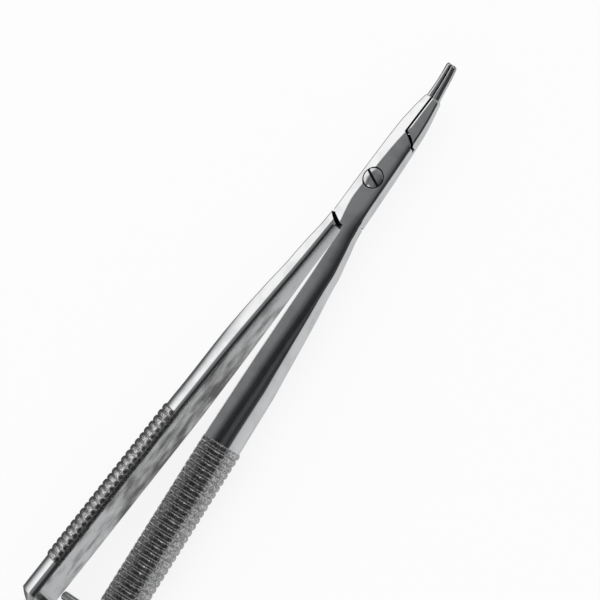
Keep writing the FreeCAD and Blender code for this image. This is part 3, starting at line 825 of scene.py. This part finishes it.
        def spot(row: int, turn: int) -> Vector:
            """Gives a ring point's place, measured from the screw."""
            section = sections[row]
            across, up = rings[row][turn]
            sine, cosine = math.sin(section.turn), math.cos(section.turn)
            return Vector((section.station * cosine + across * sine, section.station * sine - across * cosine, up))

        half = as_object(skin(len(rings), len(rings[0]), spot), "half")
        boolean(half, self.cutters(), "DIFFERENCE")
        self.mark_faces(half)
        return half

    def mark_faces(self, half: Object) -> None:
        """Gives the flat and the beads their finishes, and paints shade, as a near black finish, on the faces in
        the gaps: seams, laps, the jaws' inner faces and bores.
        """
        flat = Vector((-math.sin(HALF_ANGLE), math.cos(HALF_ANGLE), 0))
        near, upright, facing, level = 0.1, 0.6, 0.9, 0.999
        beads_rear, beads_front = self.last_bead() - self.bead_pitch / 2, self.bead_first + self.bead_room
        for face in half.data.polygons:
            station, aside, up = face.center
            in_joint = self.rear_seam_inner - near < station < self.front_seam_inner + near
            wall = abs(face.normal.z) < upright and abs(aside) < self.joint_width.at(station) - near
            gap_shade = abs(up) < 2 * self.lap_gap
            gripping = station > self.front_seam_outer and face.normal.y < -facing and aside < self.jaw_reach
            bored = math.hypot(station, aside) < self.head_room + 0.01 and abs(up) < self.joint_height.at(0) - 0.25
            # Faces in the bores, the joint's seams and laps and the jaws' split get the painted gap shade.
            if bored:
                finish = Face.GAP_SHADE
            elif face.normal.dot(flat) > level and station < self.rear_seam_inner:
                finish = Face.SATIN
            elif in_joint and (wall or gap_shade) or gripping:
                finish = Face.GAP_SHADE
            elif beads_rear < self.along(face.center) < beads_front:
                finish = Face.BEADED
            else:
                finish = Face.POLISHED
            face.material_index = finish.value

    def along(self, spot: Vector) -> float:
        """Gives a place's station on the handle."""
        return spot.x * math.cos(HALF_ANGLE) + spot.y * math.sin(HALF_ANGLE)

    def cutters(self) -> list[BMesh]:
        """Lists the tools that cut the half: the screw's bore, its head's seat and the catch's slot."""
        if self.side is Side.LEFT:
            return [cylinder(self.bore, -3, 3)]
        top, room = self.joint_height.at(0), self.head_room
        rim = [(room + out, top + up) for out, up in self.seat_rim]
        seat = turned([(0, self.head_seat), (room, self.head_seat), *rim, (rim[-1][0], 3), (0, 3)])
        half, low, high = self.slot_half, self.slot_low, self.slot_high
        slot = prism([(-half, low), (half, low), (half, high), (-half, high)], self.slot_height)
        slot.transform(Matrix.Rotation(HALF_ANGLE, 4, "Z") @ Matrix.Translation((self.catch_station, 0, 0)))
        return [cylinder(self.bore, -3, 2), seat, slot]

    def make(self, polished: Material, satin: Material, gap_shade: Material, beaded: Material) -> Object:
        """Builds the half and puts it on its body. The finishes come in the order of Face."""
        over = Matrix.Rotation(math.pi, 4, "X") if self.side is Side.LEFT else Matrix.Identity(4)
        name = "left_forging" if self.side is Side.LEFT else "right_forging"
        piece = finish_piece(self.build(), name, over, [polished, satin, gap_shade, beaded])
        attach(piece, "left_half" if self.side is Side.LEFT else "right_half")
        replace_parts(piece, "lower_half" if self.side is Side.LEFT else "upper_half")
        return piece


# Screw and pins

@dataclass(frozen=True)
class PivotScrew:
    """The slotted screw with a low domed head."""

    shank: float = 1.0
    foot: float = -1.65
    seat: float = 0.82
    head: float = 1.65
    rim: float = 1.5
    dome: float = 0.3
    slot_width: float = 0.42
    slot_depth: float = 0.5
    slot_angle: float = 65.0
    soft: float = 0.1
    bevel: float = 0.05

    def profile(self) -> list[tuple[float, float]]:
        """Lists the screw's outline, with a rounded rim and a dome over it."""
        points = [(0.0, self.foot), (self.shank - self.soft, self.foot), (self.shank, self.foot + self.soft),
                  (self.shank, self.seat), (self.head - self.bevel, self.seat), (self.head, self.seat + self.bevel)]
        points += round_edge(self.head, self.rim, self.soft, range(0, 76, 15))
        start, low = points[-1]
        return points + [(start * share, low + (self.rim + self.dome - low) * (1 - share ** 2))
                         for share in spaced(1, 0, 16)[1:]]

    def make(self, finish: Material, gap_shade: Material) -> Object:
        """Builds the screw, with painted shade inside its slot."""
        piece = as_object(turned(self.profile(), 128), "screw")
        half, past, near = self.slot_width / 2, 3.0, 0.01
        slot = prism([(-past, -half), (past, -half), (past, half), (-past, half)], 2 * self.slot_depth)
        lift = Matrix.Translation((0, 0, self.rim + self.dome))
        slot.transform(Matrix.Rotation(math.radians(self.slot_angle), 4, "Z") @ lift)
        boolean(piece, [slot], "DIFFERENCE")
        across = Vector((-sin_of(self.slot_angle), cos_of(self.slot_angle), 0))
        # The slot's faces get the second material, the painted gap shade.
        for face in piece.data.polygons:
            cut = face.normal.z > 0.999 or abs(face.normal.z) < near
            inside = abs(face.center.dot(across)) < half + near and face.center.z > self.seat + 0.1
            if cut and inside and math.hypot(face.center.x, face.center.y) < self.head - 2 * near:
                face.material_index = 1
        finish_piece(piece, "domed_screw", Matrix.Identity(4), [finish, gap_shade])
        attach(piece, "left_half")
        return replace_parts(piece, "pivot_screw")


@dataclass(frozen=True)
class StopPin:
    """The plain pin that limits the squeeze."""

    station: float = 82.4
    radius: float = 0.75
    length: float = 7.9
    depth: float = 1.5
    soft: float = 0.2

    def make(self, finish: Material) -> Object:
        """Builds the pin, set in the right handle's flat face, with a rounded end."""
        profile = [(0, -self.depth), (self.radius, -self.depth), (self.radius, self.length - self.soft)]
        profile += round_edge(self.radius, self.length, self.soft, range(15, 91, 15))
        profile.append((0, self.length + 0.02))
        piece = as_object(turned(profile, 64), "stop")
        place = (Matrix.Rotation(HALF_ANGLE, 4, "Z") @ Matrix.Translation((-self.station, 0, 0))
                 @ Matrix.Rotation(math.radians(-90), 4, "X"))
        finish_piece(piece, "polished_stop", place, [finish])
        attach(piece, "right_half")
        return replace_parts(piece, "stop_pin")


@dataclass(frozen=True)
class TailRivet:
    """The rivet through the blades' knuckles, with a low dome at each end."""

    station: float = -116.6
    radius: float = 0.6
    head: float = 0.9
    seat: float = 2.25
    dome: float = 0.25

    def make(self, finish: Material) -> Object:
        """Builds the rivet at the tail."""
        rise = [(self.head * cos_of(angle), self.seat + self.dome * sin_of(angle)) for angle in range(0, 91, 10)]
        upper = [(self.radius, self.seat), *rise]
        profile = [(radius, -height) for radius, height in reversed(upper)] + upper
        piece = as_object(turned(profile, 48), "rivet")
        finish_piece(piece, "tail_rivet", Matrix.Translation((self.station, 0, 0)), [finish])
        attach(piece, "right_blade")
        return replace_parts(piece, "tail_pin")


# Springs and catch

@dataclass
class SpringBlade:
    """A curved blade that bends from the tongue to its knuckle at the tail."""

    side: Side
    root: tuple[float, float] = (-89.0, 0.5)
    tail: float = -116.6
    bulge: float = 1.8
    root_thickness: float = 1.0
    thickness: float = 0.85
    root_width: float = 3.0
    tail_width: float = 2.25
    edge: float = 0.2
    knuckle: float = 1.3
    knuckle_height: float = 1.5
    knuckle_gap: float = 0.2
    pin_room: float = 0.62
    rows: int = 90

    def start(self) -> Vector:
        """Gives the middle of the tongue's end, for the right blade."""
        along, off = self.root
        sine, cosine = math.sin(HALF_ANGLE), math.cos(HALF_ANGLE)
        return Vector((along * cosine + off * sine, along * sine - off * cosine, 0))

    def line(self, share: float) -> Vector:
        """Gives a point of the blade's middle line, from its root (0) to its knuckle (1)."""
        root, tail = self.start(), Vector((self.tail, 0, 0))
        chord = tail - root
        outward = Vector((chord.y, -chord.x, 0)).normalized()
        if outward.y > 0:
            outward.negate()
        return root + chord * share + outward * self.bulge * 4 * share * (1 - share)

    def build(self) -> Object:
        """Builds the blade's strip and joins its knuckle to it."""
        round_turns = [math.radians(angle) for angle in (0, 22.5, 45, 67.5, 90)]

        def spot(row: int, turn: int) -> Vector:
            """Gives a point of the strip's rounded section."""
            share = row / (self.rows - 1)
            middle = self.line(share)
            ahead = (self.line(share + 0.002) - self.line(share - 0.002)).normalized()
            beside = Vector((ahead.y, -ahead.x, 0))
            quarter, step = divmod(turn, len(round_turns))
            thick = (self.root_thickness + (self.thickness - self.root_thickness) * smooth_step(share * 5)) / 2
            wide = self.root_width + (self.tail_width - self.root_width) * share
            angle = math.radians(90 * quarter) + round_turns[step]
            near = (1, -1, -1, 1)[quarter] * (thick - self.edge), (1, 1, -1, -1)[quarter] * (wide - self.edge)
            return (middle + beside * (near[0] + self.edge * math.cos(angle))
                    + Vector((0, 0, near[1] + self.edge * math.sin(angle))))

        blade = as_object(skin(self.rows, 4 * len(round_turns), spot), "blade")
        barrel = cylinder(self.knuckle, -self.tail_width, self.tail_width, 64)
        room = self.knuckle + self.knuckle_gap
        half, past = self.knuckle_height / 2, 4.0
        if self.side is Side.LEFT:
            levels = [(half, past), (-past, -half)]
        else:
            levels = [(-half - self.knuckle_gap, half + self.knuckle_gap)]
        tools = [cylinder(room, low, high, 64) for low, high in levels]
        tools.append(cylinder(self.pin_room, -past, past, 48))
        for tool in (barrel, *tools):
            tool.transform(Matrix.Translation((self.tail, 0, 0)))
        boolean(blade, [barrel], "UNION")
        boolean(blade, tools, "DIFFERENCE")
        return blade

    def make(self, finish: Material) -> Object:
        """Builds the blade and puts it where the frame has it, turned over for the left side."""
        left = self.side is Side.LEFT
        over = Matrix.Rotation(math.pi, 4, "X") if left else Matrix.Identity(4)
        name, node = ("left_spring", "spring_blade_left") if left else ("right_spring", "spring_blade_right")
        piece = finish_piece(self.build(), name, over, [finish])
        bend_end = TO_FRAME @ over @ self.line(0.45)
        TO_FRAME @ over @ self.line(0.0)
        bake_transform(piece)
        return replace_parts(piece, node)


@dataclass(frozen=True)
class Catch:
    """The leaf with a hook in the right tongue, and the keeper that it holds in the left one."""

    leaf_at: float = 87.3
    leaf_thickness: float = 0.5
    leaf_length: float = 8.66
    leaf_root: float = 1.0
    leaf_lean: float = 7.0
    width: float = 3.0
    hook_reach: float = 0.8
    hook_height: float = 0.9
    keeper_thickness: float = 1.2
    keeper_length: float = 4.0
    nose_height: float = 0.8
    keeper_gap: float = 0.45
    edge: float = 0.07

    def make_leaf(self, finish: Material) -> Object:
        """Builds the hooked leaf."""
        half, neck = self.leaf_thickness / 2, self.leaf_length - self.hook_height
        outline = [(-half, -self.leaf_root), (half, -self.leaf_root), (half, neck), (half + self.hook_reach, neck),
                   (half + self.hook_reach, neck + self.hook_height / 2), (half, self.leaf_length),
                   (-half, self.leaf_length)]
        piece = as_object(prism(outline, self.width, self.edge), "leaf")
        foot = Matrix.Translation((-self.leaf_at, -self.leaf_at * math.tan(HALF_ANGLE), 0))
        place = foot @ Matrix.Rotation(math.radians(self.leaf_lean), 4, "Z")
        finish_piece(piece, "hooked_leaf", place, [finish])
        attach(piece, "catch")
        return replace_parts(piece, "catch_leaf")

    def make_keeper(self, finish: Material) -> Object:
        """Builds the keeper's post and nose."""
        half = self.keeper_thickness / 2
        back = self.leaf_thickness / 2 + self.hook_reach + self.keeper_gap
        along = self.leaf_at - back - half
        low = -self.keeper_length
        outline = [(half, 0), (-half, 0), (-half, low + self.nose_height),
                   (-half - self.hook_reach, low + self.nose_height),
                   (-half - self.hook_reach, low + self.nose_height / 2), (-half, low), (half, low)]
        piece = as_object(prism(outline, self.width, self.edge), "post")
        place = Matrix.Translation((-along, along * math.tan(HALF_ANGLE), 0)) @ Matrix.Rotation(-HALF_ANGLE, 4, "Z")
        finish_piece(piece, "keeper_post", place, [finish])
        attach(piece, "left_half")
        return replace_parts(piece, "keeper")


# Studio

@dataclass(frozen=True)
class Glow:
    """A small softbox that only reflections see, in a direction from the tool."""

    toward: tuple[float, float, float]
    spread: float
    level: float
    fade: float = 1.3

    def add(self, tree: NodeTree, toward: NodeSocket, sky: NodeSocket) -> NodeSocket:
        """Lightens the sky's colour round the softbox's direction."""
        near = add_node(tree, "VectorMath", {0: toward, 1: Vector(self.toward).normalized()}, "DOT_PRODUCT")
        edge = rescale(tree, near.outputs["Value"], cos_of(self.spread * self.fade), cos_of(self.spread))
        return blend(tree, edge, sky, grey(self.level))


@dataclass(frozen=True)
class Sky:
    """A white sky, in which reflections see the studio's dark flags as bands that run along the tool.

    A band's angle is measured round the X axis, from straight up towards +Y.
    """

    diffuse_level: float = 0.9
    blue: float = 0.03
    end_level: float = 0.34
    end_from: float = 0.42
    end_to: float = 0.85
    end_share: float = 0.85
    bands: tuple[tuple[float, float], ...] = (
        (-180, 0.5), (-150, 0.58), (-100, 0.52), (-92, 0.45), (-88, 0.06), (-72, 0.022), (-58, 0.06), (-48, 0.05),
        (-38, 0.016), (-20, 0.025), (-8, 0.09), (5, 0.17), (25, 0.19), (36, 0.17), (41, 0.2), (46, 0.55),
        (51, 0.9), (58, 0.97), (68, 0.94), (78, 0.78), (90, 0.5), (102, 0.2), (112, 0.1), (140, 0.1),
        (156, 0.25), (165, 0.5), (180, 0.5),
    )
    glows: tuple[Glow, ...] = (
        Glow((0.62, -0.6, 0.5), 7.0, 1.2),
        Glow((-0.62, 0.35, 0.7), 6.0, 1.0),
    )

    def make(self) -> None:
        """Builds the world's nodes."""
        world = bpy.data.worlds.new("pale_sky")
        bpy.context.scene.world = world
        world.use_nodes = True
        tree = world.node_tree
        tree.nodes.clear()
        toward = tree.nodes.new("ShaderNodeTexCoord").outputs["Generated"]
        level = self.band_colour(tree, toward)
        for glow in self.glows:
            level = glow.add(tree, toward, level)
        path = tree.nodes.new("ShaderNodeLightPath").outputs
        reflected = blend(tree, path["Is Glossy Ray"], grey(self.diffuse_level), level)
        through = reckon(tree, "MAXIMUM", path["Is Camera Ray"], path["Is Transmission Ray"])
        seen = blend(tree, through, reflected, grey(1.0))
        background = add_node(tree, "Background", {"Color": seen, "Strength": 1.0})
        add_node(tree, "OutputWorld", {"Surface": background.outputs["Background"]})

    def band_colour(self, tree: NodeTree, toward: NodeSocket) -> NodeSocket:
        """Adds the bands as a colour ramp over the angle round the X axis.

        Args:
            tree: the world's nodes.
            toward: the direction looked in.

        Returns:
            The bands' colour.
        """
        parts = add_node(tree, "SeparateXYZ", {"Vector": toward}).outputs
        angle = reckon(tree, "ARCTAN2", parts["Y"], parts["Z"])
        ramp = add_node(tree, "ValToRGB", {"Fac": rescale(tree, angle, -math.pi, math.pi)})
        while len(ramp.color_ramp.elements) < len(self.bands):
            ramp.color_ramp.elements.new(0.5)
        for element, (degrees, _) in zip(ramp.color_ramp.elements, self.bands):
            element.position = (degrees + 180) / 360
        for element, (_, level) in zip(ramp.color_ramp.elements, self.bands):
            cool = 1 + self.blue * (1 - level)
            element.color = (level / cool, level, level * cool, 1)
        aside = reckon(tree, "ABSOLUTE", parts["X"])
        near_end = rescale(tree, aside, self.end_from, self.end_to, high=self.end_share)
        return blend(tree, near_end, ramp.outputs["Color"], grey(self.end_level))


@dataclass(frozen=True)
class Studio:
    """The pale floor, the soft light and the camera."""

    floor_size: float = 3000.0
    floor_tint: float = 0.96
    floor_glow: float = 0.99
    glow_share: float = 0.86
    lamp_size: float = 0.7
    lamp_power: float = 0.4
    lens: float = 200.0
    sensor: float = 36.0
    view_width: float = 95.24
    tilt: float = 25.0
    roll: float = 54.85
    head_top: float = 1.6
    aim_right: float = -11.56
    aim_up: float = -19.44
    lamp_place: tuple[float, float, float] = (0.1, 0.35, 0.5)

    def make_floor(self) -> None:
        """Lays a pale floor under the tool."""
        mesh = bmesh.new()
        bmesh.ops.create_grid(mesh, x_segments=1, y_segments=1, size=self.floor_size / 2)
        floor = as_object(mesh, "floor")
        floor.data.transform(Matrix.Scale(MM, 4))
        paint = bpy.data.materials.new("pale_floor")
        paint.use_nodes = True
        tree = paint.node_tree
        shader = tree.nodes["Principled BSDF"]
        for port, value in (("Base Color", grey(self.floor_tint)), ("Roughness", 1.0), ("Specular IOR Level", 0.0)):
            shader.inputs[port].default_value = value
        glow = add_node(tree, "Emission", {"Color": grey(self.floor_glow)})
        path = tree.nodes.new("ShaderNodeLightPath").outputs
        share = reckon(tree, "MULTIPLY", path["Is Camera Ray"], self.glow_share)
        mixed = add_node(tree, "MixShader", {"Fac": share, 1: shader.outputs["BSDF"], 2: glow.outputs["Emission"]})
        tree.links.new(mixed.outputs["Shader"], tree.nodes["Material Output"].inputs["Surface"])
        floor.data.materials.append(paint)
        floor.visible_glossy = False

    def make_lamp(self) -> None:
        """Hangs one soft lamp over the tool, which reflections don't see."""
        lamp = bpy.data.lights.new("soft_lamp", "AREA")
        lamp.size = self.lamp_size
        lamp.energy = self.lamp_power
        holder = bpy.data.objects.new("soft_lamp", lamp)
        holder.location = self.lamp_place
        holder.rotation_mode = "QUATERNION"
        holder.rotation_quaternion = (-Vector(holder.location)).to_track_quat("-Z", "Y")
        holder.visible_glossy = False
        bpy.context.scene.collection.objects.link(holder)

    def make_camera(self) -> None:
        """Sets the camera at the photograph's angle: over the right handle's side, with the tips up right."""
        tilt, roll = math.radians(self.tilt), math.radians(self.roll)
        back = Vector((0, -math.sin(tilt), math.cos(tilt)))
        across = Vector((0, math.cos(tilt), math.sin(tilt)))
        ahead = Vector((1, 0, 0))
        right = ahead * math.cos(roll) - across * math.sin(roll)
        up = ahead * math.sin(roll) + across * math.cos(roll)
        aim = Vector((0, 0, self.head_top)) + right * self.aim_right + up * self.aim_up
        far = self.view_width * self.lens / self.sensor
        camera = bpy.data.cameras.new("camera")
        camera.lens = self.lens
        camera.sensor_width = self.sensor
        camera.clip_start = 0.05
        camera.clip_end = 10.0
        holder = bpy.data.objects.new("camera", camera)
        turn = Matrix((right, up, back)).transposed().to_4x4()
        holder.matrix_world = Matrix.Translation(TO_FRAME @ (aim + back * far)) @ turn
        bpy.context.scene.collection.objects.link(holder)
        bpy.context.scene.camera = holder

    def make(self) -> None:
        """Sets up the floor, the sky, the lamp and the camera."""
        bpy.context.scene.view_settings.view_transform = "Standard"
        self.make_floor()
        Sky().make()
        self.make_lamp()
        self.make_camera()


def main() -> None:
    """Builds the studio and every piece of the tool."""
    Studio().make()
    polished, satin, gap_shade, beaded = (finish.material() for finish in (POLISHED, SATIN, GAP_SHADE, BEADED))
    round_steel, spring = TURNED.material(), SPRING.material()
    for side in Side:
        ForgedHalf(side).make(polished, satin, gap_shade, beaded)
    PivotScrew().make(round_steel, gap_shade)
    StopPin().make(round_steel)
    for side in Side:
        SpringBlade(side, pin_room=0.75 if side is Side.LEFT else 0.62).make(spring)
    TailRivet().make(round_steel)
    catch = Catch()
    catch.make_leaf(spring)
    catch.make_keeper(round_steel)


if __name__ == "__main__":
    main()
